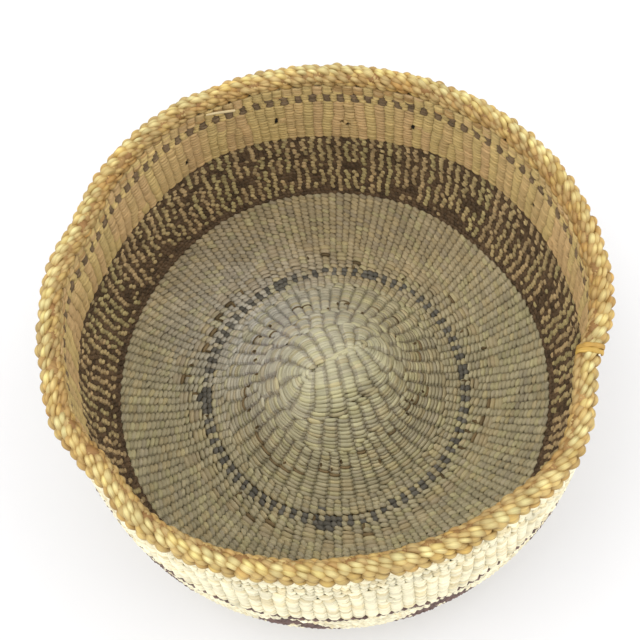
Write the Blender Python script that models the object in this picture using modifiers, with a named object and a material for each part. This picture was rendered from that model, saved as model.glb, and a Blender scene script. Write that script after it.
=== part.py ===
"""Twined basketry bowl: warps, bands of weft courses and a rim of three rows.

Metres, +Z up, Z = 0 on the surface the bowl stands on, the bowl's axis on Z.
One polyline runs in the middle of the wall, from the centre of the pushed-up base to
the top of the wall. Every band of courses goes round along a stretch of it, and every
warp follows it inside a channel through the bands.
"""

from math import cos, pi, radians, sin, tau

import bmesh
import bpy
from mathutils import Matrix, Vector

# Wall and its courses
WALL = 0.0045  # thickness of the twined wall, at its thickest
RIB_DEPTH = 0.0009  # how far the wall's faces sink between the ribs over the warps
GAP = 0.0003  # clearance between touching pieces

# Base, measured in the middle of the wall
START_RADIUS = 0.0100  # edge of the start, where the warps cross
DOME_HEIGHT = 0.0223  # how far the centre is pushed up
DOME_RADIUS = 0.0410  # foot of the pushed-up part, inner edge of the dotted ring
RING_WIDTH = 0.0035  # dotted ring
FLAT_RADIUS = 0.0540  # outer edge of the flat that the bowl stands on
HAUNCH_RADIUS = 0.0648  # base between the flat and the edge
HAUNCH_RISE = 0.0050
EDGE_RADIUS = 0.0706  # dark line at the foot of the wall, lower side
EDGE_RISE = 0.0092
LINE_WIDTH = 0.0026  # how far the dark line goes out
LINE_HEIGHT = 0.0034  # and up

# Wall, measured in its middle
BELLY_RADIUS = 0.0763  # widest level
BELLY_LEVEL = 0.0290
BAND_RADIUS = 0.0753  # top of the patterned band
BAND_LEVEL = 0.0443
PLAIN_RADIUS = 0.0729  # top of the plain band
PLAIN_LEVEL = 0.0658
DASH_RADIUS = 0.0723  # top of the row of dashes
DASH_HEIGHT = 0.0032
DASH_LEVEL = PLAIN_LEVEL + DASH_HEIGHT
WALL_TOP_RADIUS = 0.0709
TOP_HEIGHT = 0.0055  # courses between the dashes and the rim
WALL_TOP_LEVEL = DASH_LEVEL + TOP_HEIGHT

# Rim: three rows packed like a pyramid, each with a six-sided section
RIM_INSET = 0.0011  # how far the rim's middle lies inside the middle of the wall's top
RIM_RADIUS = WALL_TOP_RADIUS - RIM_INSET
ROW_THICKNESS = 0.0031  # across the flats of a row

# Warps
WARPS_AT_START = 20
WARP_WIDTH = 0.0016  # along the wall
WARP_THICKNESS = 0.0016  # through the wall
SOCKET_DEPTH = 0.0015  # how far the first warps reach into the start
INSERT_CLEARANCE = 0.0017  # from the dotted ring to the tips of the added warps
INSERT_RADIUS = DOME_RADIUS + RING_WIDTH + INSERT_CLEARANCE

# Strand ends that show
FINISH_WIDTH = 0.0020  # the strand that closes the rim, over its three rows
FINISH_THICKNESS = 0.0008
FINISH_FACET = 0  # counted from +X
LOOSE_LENGTH = 0.0080  # the weft end that lies on the inside, under the rim
LOOSE_THICKNESS = 0.0008
LOOSE_TURN = radians(120)

# Facets
WARPS_AT_WALL = 2 * WARPS_AT_START  # one added warp between every two
STEPS = WARPS_AT_WALL  # each warp lies in the middle of a facet
DOME_SPANS = 3
ON_FACET = cos(pi / STEPS)  # a facet's middle lies this share of its corner's radius out

# Colours, linear
KHAKI = (0.30, 0.25, 0.15)
PALE = (0.50, 0.42, 0.24)
TAN = (0.47, 0.32, 0.14)
CHARCOAL = (0.05, 0.05, 0.05)
DARK_BROWN = (0.06, 0.035, 0.022)
GOLD = (0.58, 0.36, 0.10)
STRAW = (0.66, 0.48, 0.18)
ORANGE = (0.45, 0.22, 0.06)
BRIGHT = (0.70, 0.40, 0.07)
SHOOT = (0.36, 0.24, 0.12)


def clear_scene():
    for item in list(bpy.data.objects):
        bpy.data.objects.remove(item, do_unlink=True)


def new_collection(name):
    collection = bpy.data.collections.new(name)
    bpy.context.scene.collection.children.link(collection)
    return collection


def material(name, colour, roughness):
    made = bpy.data.materials.new(name)
    made.use_nodes = True
    shader = made.node_tree.nodes["Principled BSDF"]
    shader.inputs["Base Color"].default_value = (*colour, 1)
    shader.inputs["Roughness"].default_value = roughness
    shader.inputs["Metallic"].default_value = 0
    return made


def place(name, mesh, collection, look=None):
    made = bpy.data.objects.new(name, mesh)
    collection.objects.link(made)
    if look:
        mesh.materials.append(look)
    return made


def hide_cutter(cutter):
    cutter.hide_render = True
    cutter.display_type = "WIRE"


def dome_height(radius):
    return WALL / 2 + DOME_HEIGHT * (1 + cos(pi * radius / DOME_RADIUS)) / 2


def stations():
    """Named points of the line in the middle of the wall, from the axis to the top."""
    made = {"centre": (0, dome_height(0))}
    for k in range(DOME_SPANS + 1):
        radius = START_RADIUS + (DOME_RADIUS - START_RADIUS) * k / DOME_SPANS
        made[f"dome {k}"] = (radius, dome_height(radius))
    made["ring"] = (DOME_RADIUS + RING_WIDTH, WALL / 2)
    made["flat"] = (FLAT_RADIUS, WALL / 2)
    made["haunch"] = (HAUNCH_RADIUS, WALL / 2 + HAUNCH_RISE)
    made["edge"] = (EDGE_RADIUS, WALL / 2 + EDGE_RISE)
    made["line"] = (EDGE_RADIUS + LINE_WIDTH, WALL / 2 + EDGE_RISE + LINE_HEIGHT)
    made["belly"] = (BELLY_RADIUS, BELLY_LEVEL)
    made["band"] = (BAND_RADIUS, BAND_LEVEL)
    made["plain"] = (PLAIN_RADIUS, PLAIN_LEVEL)
    made["dash"] = (DASH_RADIUS, DASH_LEVEL)
    made["top"] = (WALL_TOP_RADIUS, WALL_TOP_LEVEL)
    return {name: Vector(point) for name, point in made.items()}


def directions(points):
    return [(b - a).normalized() for a, b in zip(points, points[1:])]


def mitres(points):
    """At each point, the step across the wall that stays one unit from both its spans."""
    spans = directions(points)
    steps = []
    for before, after in zip([spans[0]] + spans, spans + [spans[-1]]):
        normal = Vector((-before.y - after.y, before.x + after.x)).normalized()
        steps.append(normal / normal.dot(Vector((-after.y, after.x))))
    return steps


def band_outline(first, last, wall=WALL):
    """Closed outline of the wall between two stations, half a gap short at each end.

    Its first half is the inner face, its second half the outer face.
    """
    names = list(STATIONS)
    begin, end = names.index(first), names.index(last)
    points = list(STATIONS.values())
    spans, steps = directions(points), mitres(points)
    steps[0] = Vector((0, 1))  # upright on the axis
    inside = [points[k] + steps[k] * wall / 2 for k in range(begin, end + 1)]
    outside = [points[k] - steps[k] * wall / 2 for k in range(begin, end + 1)]
    if begin:
        back = spans[begin] * steps[begin].length * GAP / 2
        inside[0] += back
        outside[0] += back
    back = spans[end - 1] * steps[end].length * GAP / 2
    inside[-1] -= back
    outside[-1] -= back
    return inside + outside[::-1]


def turned(name, outline, collection, look, closed=True):
    """A solid of revolution from an outline that runs clockwise, radius to the right."""
    mesh = bpy.data.meshes.new(name)
    count = len(outline)
    edges = [(k, (k + 1) % count) for k in range(count if closed else count - 1)]
    mesh.from_pydata([(p.x, 0, p.y) for p in outline], edges, [])
    made = place(name, mesh, collection, look)
    screw = made.modifiers.new("Turn", "SCREW")
    screw.steps = STEPS
    screw.render_steps = STEPS
    screw.use_merge_vertices = True
    screw.merge_threshold = 0.00001
    screw.use_smooth_shade = True
    return made


def ribbed(name, first, last, collection, look):
    """A band of the wall whose faces bulge over every warp and sink between two of them."""
    crest = band_outline(first, last)
    hollow = band_outline(first, last, WALL - 2 * RIB_DEPTH)
    for point in crest[:len(crest) // 2]:
        point.x *= ON_FACET
    shape = bmesh.new()
    columns = []
    for k in range(2 * STEPS):
        spin = Matrix.Rotation(tau * k / (2 * STEPS), 4, "Z")
        outline = crest if k % 2 else hollow
        columns.append([shape.verts.new(spin @ Vector((p.x, 0, p.y))) for p in outline])
    for before, after in zip(columns, columns[1:] + columns[:1]):
        for k in range(len(crest)):
            shape.faces.new((before[k - 1], after[k - 1], after[k], before[k]))
    bmesh.ops.triangulate(shape, faces=shape.faces)
    bmesh.ops.recalc_face_normals(shape, faces=shape.faces)
    mesh = bpy.data.meshes.new(name)
    shape.to_mesh(mesh)
    shape.free()
    return place(name, mesh, collection, look)


def warp_line(start, stop):
    """A warp's middle line, on the middle of a facet.

    It starts at a radius in the base and runs a length past the wall's top, or stops
    short of the top where that length is below zero.
    """
    points = [Vector((p.x * ON_FACET, p.y)) for p in STATIONS.values()]
    kept = [p for p in points if start < p.x or p.y > points[-1].y / 2]
    before = points[len(points) - len(kept) - 1]
    share = (start - before.x) / (kept[0].x - before.x)
    line = [before.lerp(kept[0], share)] + kept
    line[-1] += directions(line)[-1] * stop
    return line


def ribbon(name, line, width, thickness, turns, collection, look=None):
    """A strip along the line at each of the turns about Z, thickened to both sides."""
    mesh = bpy.data.meshes.new(name)
    shape = bmesh.new()
    for turn in turns:
        spin = Matrix.Rotation(turn, 4, "Z")
        row = [shape.verts.new(spin @ Vector((p.x, -width / 2, p.y))) for p in line]
        edges = [shape.edges.new(pair) for pair in zip(row, row[1:])]
        swept = bmesh.ops.extrude_edge_only(shape, edges=edges)["geom"]
        moved = [item for item in swept if isinstance(item, bmesh.types.BMVert)]
        across = spin @ Vector((0, width, 0))
        bmesh.ops.translate(shape, verts=moved, vec=across)
    bmesh.ops.recalc_face_normals(shape, faces=shape.faces)
    shape.to_mesh(mesh)
    shape.free()
    made = place(name, mesh, collection, look)
    solidify = made.modifiers.new("Thickness", "SOLIDIFY")
    solidify.thickness = thickness
    solidify.offset = 0
    solidify.use_even_offset = True
    return made


def cut_channels(band, cutters):
    for cutter in cutters:
        cut = band.modifiers.new(cutter.name, "BOOLEAN")
        cut.operation = "DIFFERENCE"
        cut.solver = "EXACT"
        cut.object = cutter


def six_sided(middle):
    """Clockwise outline of a rim row, with flats that face its neighbours."""
    corner = ROW_THICKNESS / 2 / cos(radians(30))
    turns = [-tau * k / 6 + pi / 2 for k in range(6)]
    return [middle + corner * Vector((cos(turn), sin(turn))) for turn in turns]


def build_channels(first_turns, added_turns, collection):
    width = WARP_WIDTH + 2 * GAP
    thickness = WARP_THICKNESS + 2 * GAP
    long_line = warp_line(START_RADIUS - SOCKET_DEPTH - GAP, WALL)
    short_line = warp_line(INSERT_RADIUS - GAP, WALL)
    long_cutter = ribbon("first_channels", long_line, width, thickness, first_turns, collection)
    short_cutter = ribbon("added_channels", short_line, width, thickness, added_turns, collection)
    hide_cutter(long_cutter)
    hide_cutter(short_cutter)
    return long_cutter, short_cutter


def build_bands(collection, first, added):
    """The start and the bands of weft courses, with the stations that each runs between.

    The wall's three wide bands are ribbed.
    """
    khaki = material("khaki_weft", KHAKI, 0.75)
    tan = material("tan_weft", TAN, 0.65)
    charcoal = material("charcoal_overlay", CHARCOAL, 0.7)
    brown = material("dark_brown_overlay", DARK_BROWN, 0.6)
    pale = material("pale_weft", PALE, 0.75)
    start = turned("start_knot", band_outline("centre", "dome 0"), collection, pale, closed=False)
    cut_channels(start, [first])
    rows = (
        ("base_inner_weft", "dome 0", f"dome {DOME_SPANS}", khaki, [first], False),
        ("base_dotted_ring", f"dome {DOME_SPANS}", "ring", charcoal, [first], False),
        ("base_outer_weft", "ring", "edge", khaki, [first, added], False),
        ("base_edge_line", "edge", "line", brown, [first, added], False),
        ("wall_speckled_lower", "line", "belly", brown, [first, added], True),
        ("wall_speckled_upper", "belly", "band", brown, [first, added], True),
        ("wall_plain_band", "band", "plain", tan, [first, added], True),
        ("wall_dash_row", "plain", "dash", charcoal, [first, added], False),
        ("wall_top_weft", "dash", "top", tan, [first, added], False),
    )
    for name, begin, end, look, cutters, has_ribs in rows:
        if has_ribs:
            band = ribbed(name, begin, end, collection, look)
        else:
            band = turned(name, band_outline(begin, end), collection, look)
        cut_channels(band, cutters)


def build_warps(collection, first_turns, added_turns):
    shoot = material("peeled_shoot", SHOOT, 0.6)
    stop = -GAP
    lines = (
        ("warp", first_turns, warp_line(START_RADIUS - SOCKET_DEPTH, stop)),
        ("added_warp", added_turns, warp_line(INSERT_RADIUS, stop)),
    )
    for label, turns, line in lines:
        for k, turn in enumerate(turns, 1):
            name = f"{label}_{k:02d}"
            ribbon(name, line, WARP_WIDTH, WARP_THICKNESS, [turn], collection, shoot)


def rim_middles():
    """Middles of two rows side by side on the wall, and of one in the groove between."""
    pitch = ROW_THICKNESS + GAP
    lower = WALL_TOP_LEVEL + GAP + ROW_THICKNESS / 2 / cos(radians(30))
    upper = lower + pitch * cos(radians(30))
    return (
        Vector((RIM_RADIUS - pitch / 2, lower)),
        Vector((RIM_RADIUS + pitch / 2, lower)),
        Vector((RIM_RADIUS, upper)),
    )


def build_rim(collection):
    names = ("rim_inner_row", "rim_outer_row", "rim_bead_row")
    for name, middle, colour in zip(names, rim_middles(), (ORANGE, GOLD, STRAW)):
        look = material(name + "_strand", colour, 0.5)
        turned(name, six_sided(middle), collection, look)


def build_finish_strand(collection):
    """The closing strand, bent over the rim from its inner side to its outer side."""
    inner, outer, bead = (six_sided(middle) for middle in rim_middles())
    top, upper_right, lower_right, _, lower_left, upper_left = range(6)
    corners = [inner[lower_left], inner[upper_left], bead[upper_left], bead[top]]
    corners += [bead[upper_right], outer[upper_right], outer[lower_right]]
    rise = GAP + FINISH_THICKNESS / 2
    line = [corner + step * rise for corner, step in zip(corners, mitres(corners))]
    line = [Vector((p.x * ON_FACET, p.y)) for p in line]
    turn = tau * (FINISH_FACET + 0.5) / STEPS
    look = material("finish_strand", BRIGHT, 0.45)
    ribbon("rim_finish_strand", line, FINISH_WIDTH, FINISH_THICKNESS, [turn], collection, look)


def build_loose_end(collection):
    """A weft end that lies along the inner face of the top courses."""
    low, high = STATIONS["dash"], STATIONS["top"]
    inward = directions([low, high])[0].orthogonal()
    place_across = low.lerp(high, 0.5) + inward * (WALL / 2 + GAP + LOOSE_THICKNESS / 2)
    facet = round(LOOSE_TURN / tau * STEPS - 0.5)
    turn = tau * (facet + 0.5) / STEPS
    mesh = bpy.data.meshes.new("loose_weft_end")
    shape = bmesh.new()
    bmesh.ops.create_cone(
        shape,
        cap_ends=True,
        segments=8,
        radius1=LOOSE_THICKNESS / 2,
        radius2=LOOSE_THICKNESS / 2,
        depth=LOOSE_LENGTH,
        matrix=Matrix.Rotation(pi / 2, 4, "X"),
    )
    shape.to_mesh(mesh)
    shape.free()
    made = place("loose_weft_end", mesh, collection, material("loose_end", PALE, 0.6))
    made.rotation_euler.z = turn
    radius = place_across.x * ON_FACET
    made.location = (radius * cos(turn), radius * sin(turn), place_across.y)


STATIONS = stations()
clear_scene()
bowl = new_collection("twined_bowl")
cutting = new_collection("cutters")
turns_of_first = [tau * (k + 0.5) / STEPS for k in range(0, WARPS_AT_WALL, 2)]
turns_of_added = [tau * (k + 0.5) / STEPS for k in range(1, WARPS_AT_WALL, 2)]
channels = build_channels(turns_of_first, turns_of_added, cutting)
build_bands(bowl, *channels)
build_warps(bowl, turns_of_first, turns_of_added)
build_rim(bowl)
build_finish_strand(bowl)
build_loose_end(bowl)
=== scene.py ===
"""Looks of the twined bowl: each weft strand, warp and rim strand is a tube of its own."""

from math import cos, pi, radians, sin, tau

import bpy
import numpy as np
from mathutils import Matrix, Vector


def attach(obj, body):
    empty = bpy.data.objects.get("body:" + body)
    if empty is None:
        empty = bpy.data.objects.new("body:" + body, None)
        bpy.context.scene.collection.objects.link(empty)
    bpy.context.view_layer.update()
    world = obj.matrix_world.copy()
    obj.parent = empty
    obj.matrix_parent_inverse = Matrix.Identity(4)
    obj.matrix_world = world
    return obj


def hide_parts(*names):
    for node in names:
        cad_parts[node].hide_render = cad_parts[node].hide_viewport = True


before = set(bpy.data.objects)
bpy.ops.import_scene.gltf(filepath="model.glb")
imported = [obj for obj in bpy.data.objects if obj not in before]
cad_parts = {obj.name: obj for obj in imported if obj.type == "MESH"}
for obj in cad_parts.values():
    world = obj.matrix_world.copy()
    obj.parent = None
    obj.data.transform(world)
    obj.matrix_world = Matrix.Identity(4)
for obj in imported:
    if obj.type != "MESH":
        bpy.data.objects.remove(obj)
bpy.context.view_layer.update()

MM = 0.001
rng = np.random.default_rng(4)
normal = rng.standard_normal
UP = np.array([0, 0, 1.0])

# The line in the middle of the wall, in millimetres: radius and level, close to the CAD's
WALL_LINE = np.array([
    (0, 24.55), (10, 21.4), (20.3, 13.5), (30.7, 5.57), (41, 2.25), (44.5, 2.25), (54, 2.25),
    (64.8, 7.25), (70.6, 11.45), (73.2, 14.85), (76.3, 29), (75.3, 44.3), (72.9, 65.8),
    (72.3, 69), (70.9, 74.5),
])
SPANS = np.hypot(*np.diff(WALL_LINE, axis=0).T)
ALONG = np.concatenate([[0], np.cumsum(SPANS)])

# Bands of courses: name, where the band ends on the line, number of courses
BANDS = (
    ("start", ALONG[1], 10),
    ("inner", ALONG[4], 30),
    ("ring", ALONG[5], 2),
    ("outer", ALONG[8], 19),
    ("line", ALONG[9], 3),
    ("lower", ALONG[10], 9),
    ("upper", ALONG[11], 10),
    ("plain", ALONG[12] - 1.0, 14),
    ("dash", ALONG[13] + 0.4, 3),
    ("top", ALONG[14], 4),
)

# Oval start: half length and direction of the line that the first course runs round
OVAL_HALF = 8.3
OVAL_TURN = radians(22)
OVAL_SHIFT = np.array([1.4, 2.6])
OVAL_FADE = 31.0
OVAL_SHARP = 2.2  # how sharply one end of the oval goes over into the other
RIB_LEAN = radians(-12.5)  # of the ribs that cross that line, from square to it

SEAM = OVAL_TURN + RIB_LEAN - pi / 2  # where each course goes over into the next
# How far out the ends of a stitch stay, as a share of its reach: up to the top of the
# speckled bands, above them on the inside, and above them on the outside
SINK, SINK_ABOVE, SINK_OUTSIDE = 0.44, 0.65, 0.5
SIDES = 6

WALL_RADIUS = 74  # turns a width on the wall into an angle
RIM_RADIUS = 69  # and one at the rim
BASE_RADIUS = 62  # inside it a strand lies flat
STAND = (36, 60)  # arc lengths between which the outside may touch the floor
PITCH = 1.3  # about the height of a course

# Stitches of each band: reach from the middle of the wall to the middle of the stitch, half
# thickness, half width as a share of the course, climb to each side as a share of it, and
# how far the stitch's flat top reaches, as a share of its half length
FORMS = {
    "start": (1.66, 0.54, 0.84, 0.24, 0.55),
    "inner": (1.66, 0.52, 0.70, 0.28, 0.55),
    "ring": (1.66, 0.52, 0.52, 0.16, 0.66),
    "outer": (1.64, 0.54, 0.57, 0.30, 0.54),
    "line": (1.62, 0.52, 0.55, 0.24, 0.6),
    "lower": (1.60, 0.56, 0.55, 0.34, 0.5),
    "upper": (1.60, 0.56, 0.55, 0.34, 0.5),
    "plain": (1.74, 0.44, 0.60, 0.12, 0.82),
    "dash": (1.66, 0.50, 0.56, 0.10, 0.6),
    "top": (1.66, 0.50, 0.56, 0.20, 0.66),
}

# Bands with a light and a dark strand: pairs of stitches in a course, or 0 for one to each
# rib, and the share of the course that is dark
TWO_COLOUR = {
    "ring": (75, 0.48), "line": (0, 0.5), "lower": (0, 0.5), "upper": (0, 0.5), "dash": (104, 0.5),
}

# Where the bowl is out of round: azimuth and half width in degrees, push, level and spread in mm
DENTS = (
    (27, 26, 1.0, 78, 34), (-24, 9, -3.2, 78, 30), (-46, 9, 1.2, 78, 30), (120, 12, 0.9, 78, 26),
    (153, 9, -1.6, 78, 26), (166, 8, 0.5, 78, 26), (198, 5, 0.6, 78, 26), (213, 9, -2.0, 78, 26),
    (-90, 34, -3.2, 80, 20), (72, 20, -1.6, 44, 20), (112, 14, 1.4, 44, 20), (170, 16, 1.2, 44, 20),
    (150, 42, -1.4, 58, 14), (15, 34, -0.8, 60, 14), (35, 16, -1.3, 14, 12), (112, 22, 1.2, 14, 12),
)


def srgb(r, g, b):
    c = np.array([r, g, b], float) / 255
    return np.where(c <= 0.04045, c / 12.92, ((c + 0.055) / 1.055) ** 2.4)


def clamp(values):
    return np.clip(values, 0, 1)


def unit(v):
    return v / np.maximum(np.linalg.norm(v, axis=-1, keepdims=True), 1e-12)


def outward(points):
    """Level unit vectors from the bowl's axis to the points."""
    return unit(points * [1, 1, 0])


def angle_from(azimuth, centre):
    """Angle in radians, up to half a turn either way, from centre, which is in degrees."""
    return (azimuth - radians(centre) + pi) % tau - pi


LINE_STEP = 0.25
LINE_EXTRA = 12.0  # how far the line is drawn on past either end
LINE_BLUR = 2.0
BLUR_HALF = 24  # steps


def smooth_line():
    """The line with its corners rounded, in even steps, with its normal to the inside."""
    along = np.arange(-LINE_EXTRA, ALONG[-1] + LINE_EXTRA, LINE_STEP)
    tail = (WALL_LINE[-1] - WALL_LINE[-2]) / SPANS[-1]
    inside = np.clip(np.abs(along), 0, ALONG[-1])
    r = np.interp(inside, ALONG, WALL_LINE[:, 0]) * np.sign(along + 1e-9)
    z = np.interp(inside, ALONG, WALL_LINE[:, 1])
    past = np.clip(along - ALONG[-1], 0, None)
    r, z = r + past * tail[0], z + past * tail[1]
    weights = np.exp(-0.5 * (np.arange(-BLUR_HALF, BLUR_HALF + 1) * LINE_STEP / LINE_BLUR) ** 2)
    weights /= weights.sum()
    r, z = (np.convolve(np.pad(values, BLUR_HALF, "edge"), weights, "valid") for values in (r, z))
    dr, dz = np.gradient(r), np.gradient(z)
    size = np.hypot(dr, dz)
    return along, r, z, -dz / size, dr / size


LINE = smooth_line()
# Up to this arc length a point's level follows from its radius, because of the oval start
LEVEL_BY_RADIUS = 42
# The line's part from the middle to arc length 53
BASE_PART = slice(int(LINE_EXTRA / LINE_STEP), int((LINE_EXTRA + 53) / LINE_STEP))


def dent_push(azimuth, level):
    push = 0.0
    for centre, width, depth, height, spread in DENTS:
        near = np.exp(-(angle_from(azimuth, centre) / radians(width)) ** 2)
        push = push + depth * near * np.exp(-((level - height) / spread) ** 2)
    return push


def rim_wave(azimuth):
    """How far the rim rises and falls on its way round."""
    return 0.35 * np.sin(3 * azimuth + 1)


def surface(s, phi, out=0.0):
    """Points at arc length s and azimuth phi, out mm to the inside of the wall's middle."""
    along, line_r, line_z, normal_r, normal_z = LINE
    r = np.interp(s, along, line_r)
    fade = clamp(1 - s / OVAL_FADE)
    fade = fade * fade * (3 - 2 * fade)
    turn = phi - OVAL_TURN - RIB_LEAN
    stretch = OVAL_HALF * fade * np.tanh(OVAL_SHARP * np.cos(turn)) / np.tanh(OVAL_SHARP)
    x = r * np.cos(phi) + stretch * cos(OVAL_TURN) + OVAL_SHIFT[0] * fade
    y = r * np.sin(phi) + stretch * sin(OVAL_TURN) + OVAL_SHIFT[1] * fade
    true_r = np.maximum(np.hypot(x, y), 1e-6)
    by_radius = np.interp(true_r, line_r[BASE_PART], along[BASE_PART])
    lookup = np.where(s < LEVEL_BY_RADIUS, by_radius, s)
    level, nr, nz = (np.interp(lookup, along, values) for values in (line_z, normal_r, normal_z))
    push = dent_push(np.arctan2(y, x), level) * clamp((true_r - 50) / 20)
    aside = nr * out + push
    lift = rim_wave(phi) * clamp((level - 40) / 35)
    return np.stack([x + x / true_r * aside, y + y / true_r * aside, level + nz * out + lift], -1)


# Courses and ribs


def make_courses():
    """For each course: band, arc length where it starts, and where it ends a turn later."""
    courses, begin = [], 0.0
    for name, end, count in BANDS:
        levels = begin + (end - begin) * np.arange(count + 1) / count
        courses += [(name, low, high) for low, high in zip(levels[:-1], levels[1:])]
        begin = end
    return courses


COURSES = make_courses()
PROBE = np.linspace(0, tau, 1441)  # angles from the seam at which a course is measured
FIRST_RIBS = 16
NEVER = 1000.0  # an arc length past the rim
NOTCHED, WIDE, HOLE = 1, 2, 3  # marks of stitches


def row_lengths(s):
    """Running length round the bowl at arc length s, stretched where ribs lie closer."""
    points = surface(s, SEAM + PROBE)
    steps = np.linalg.norm(np.diff(points, axis=0), axis=1)
    middle = SEAM + (PROBE[1:] + PROBE[:-1]) / 2
    closer = 0.05 * clamp((s - 8) / 12)
    steps = steps * (1 + closer * np.cos(middle - radians(80)))
    return np.concatenate([[0], np.cumsum(steps)])


def new_rib(weight=1.0):
    return {"weight": weight, "notch": NEVER, "split": NEVER, "drop": NEVER, "wide": 1.0}


def part_nine(ribs):
    """Adds a warp beside nine of the first ribs."""
    for i in np.linspace(0.5, len(ribs) - 1.2, 9).round().astype(int):
        ribs[i]["notch"] = 9.5 + 6.5 * rng.random()
        ribs[i]["split"] = ribs[i]["notch"] + 2.6


def part_inside(ribs):
    """Parts every rib inside the dotted ring, with no notch."""
    for rib in ribs:
        rib["split"] = 26 + 0.7 * normal()


def part_at_ring(ribs):
    """Adds a warp beside every rib, and parts them at the dotted ring."""
    for rib in ribs:
        rib["notch"] = 29 if rng.random() < 0.16 else np.clip(34 + 1.7 * normal(), 31, 38)
        rib["split"] = 42.6 + 0.6 * normal()


def part_outside(ribs):
    """Adds a warp beside every other rib outside the dotted ring, which grows wide first."""
    for rib in ribs[::2]:
        rib["notch"] = np.clip(54.5 + 2.2 * normal(), 50.5, 59.5)
        rib["split"] = rib["notch"] + 5.0 + 0.8 * normal()
        rib["wide"] = 1.6


def drop_twelve(ribs):
    """Ends twelve ribs in the plain band, where the wall draws in."""
    for i in np.linspace(3, len(ribs) - 6, 12) + rng.integers(-3, 4, 12):
        ribs[int(i)]["drop"] = 115 + 14 * rng.random()


# What is planned for the ribs, and past which arc length
STAGES = (
    (8.5, part_nine), (19.8, part_inside), (28.2, part_at_ring), (49.5, part_outside), (113, drop_twelve),
)
DROP_RUN = 4.5  # how far a rib narrows before it ends


def part_ribs(s, edges, ribs):
    """Edges and ribs at arc length s, after those that part or end there."""
    new_edges, new_ribs = [edges[0]], []
    for i, rib in enumerate(ribs):
        if s >= rib["split"]:
            share = 0.5 + 0.04 * normal()
            new_edges += [edges[i] + (edges[i + 1] - edges[i]) * share, edges[i + 1]]
            new_ribs += [new_rib(rib["weight"] / 2 if rib["wide"] > 1 else 1.0) for _ in (0, 1)]
        elif s >= rib["drop"] + DROP_RUN:
            new_edges[-1] = (edges[i] + edges[i + 1]) / 2
        else:
            new_edges.append(edges[i + 1])
            new_ribs.append(rib)
    new_edges[-1] = edges[-1]
    return np.array(new_edges), new_ribs


def mark_ribs(s, pitch, ribs):
    """Brings each rib nearer to its width, and marks those with a new warp beside them."""
    marks = np.zeros(len(ribs), int)
    for i, rib in enumerate(ribs):
        target = rib["wide"] if s >= rib["notch"] else 0.4 if s >= rib["drop"] else 1.0
        rib["weight"] += (target - rib["weight"]) * (0.6 if rib["notch"] < NEVER else 0.35)
        if s >= rib["notch"]:
            marks[i] = NOTCHED if s - pitch < rib["notch"] else WIDE
    return marks


def well_apart(at):
    """Which edges to keep in a course that is too short for all of them."""
    keep = [0]
    for j in range(1, len(at) - 1):
        if at[j] - at[keep[-1]] > 1.9 and at[-1] - at[j] > 1.2:
            keep.append(j)
    return keep + [len(at) - 1]


def grow_ribs():
    """Edges of the ribs in each course, and what happens to each rib there.

    Where a warp is put in beside a rib there is a notch, then a few courses of wide
    stitches, then two ribs.
    """
    rows, notches, waiting = [], [], list(STAGES)
    lengths = row_lengths(6.0)
    edges = np.interp(np.linspace(0, lengths[-1], FIRST_RIBS + 1), lengths, PROBE)
    ribs = [new_rib() for _ in range(FIRST_RIBS)]
    for _, begin, end in COURSES:
        s, pitch = (begin + end) / 2, end - begin
        lengths = row_lengths(s)
        edges, ribs = part_ribs(s, edges, ribs)
        while waiting and s > waiting[0][0]:
            waiting.pop(0)[1](ribs)
        marks = mark_ribs(s, pitch, ribs)
        at = np.interp(edges, PROBE, lengths)
        weight = np.array([rib["weight"] for rib in ribs])
        evening = np.interp(s, [8, 16], [0.0, 0.22])
        for _ in range(4):
            pull = np.diff(at) / weight
            at[1:-1] += evening * (pull[1:] - pull[:-1])
        edges = np.interp(at, lengths, PROBE)
        shown = edges
        if s < 4:
            keep = well_apart(at)
            at, shown, marks = at[keep], edges[keep], np.zeros(len(keep) - 1, int)
        wobble = np.zeros(len(shown))
        wobble[1:-1] = rng.normal(0, 0.03, len(shown) - 2) * np.diff(shown)[1:]
        shown = shown + wobble
        for i in np.flatnonzero(marks == NOTCHED):
            notches.append((shown[i], shown[i + 1], s - pitch * 0.6))
        rows.append({"edges": shown, "marks": marks, "width": np.diff(at)})
    return rows, notches


def two_colour_row(row, band, k):
    """Light and dark stitches by turns, the light ones first.

    In the speckled bands the light ones lean to and fro, which makes wavy columns.
    """
    pairs, share = TWO_COLOUR[band]
    if pairs:
        middle = (np.arange(pairs) + 0.3) * tau / pairs
        width = np.full(pairs, tau / pairs)
        middle = middle + 0.06 * width * normal(pairs)
    else:
        middle = (row["edges"][1:] + row["edges"][:-1]) / 2
        width = np.diff(row["edges"])
        pairs = len(width)
        column = np.arange(pairs)
        phase = column * 0.9 + 1.3 * np.sin(column * 0.31) + 0.8 * np.sin(column * 0.113 + 2)
        sway = 0.12 * np.sin(k * 1.9 + phase) + 0.07 * np.sin(k * 0.7 - column * 0.4)
        middle = middle + width * (sway + 0.07 * normal(pairs))
    half = (1 - share) * width * (1 + 0.12 * normal(pairs)) / 2
    edges = np.append(np.stack([middle - half, middle + half], 1).ravel(), tau)
    edges[0] = 0.0
    order = np.arange(len(edges))
    least = order * (0.12 * tau / pairs) * 0.2
    edges = np.maximum.accumulate(edges - least) + least
    row["edges"] = np.minimum(edges, tau - (len(edges) - 1 - order) * 1e-5)
    row["marks"] = np.zeros(len(edges) - 1, int)


# Places where a warp was dropped: azimuth in degrees and arc length
HOLES = (
    (95.4, 124.4), (77.5, 122.1), (59.5, 124.4), (24.0, 122.3), (151.1, 116.0), (118, 120.5),
    (8, 126), (-40, 122), (-85, 125), (-130, 121),
)
HOLE_HALF = 0.75


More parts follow.
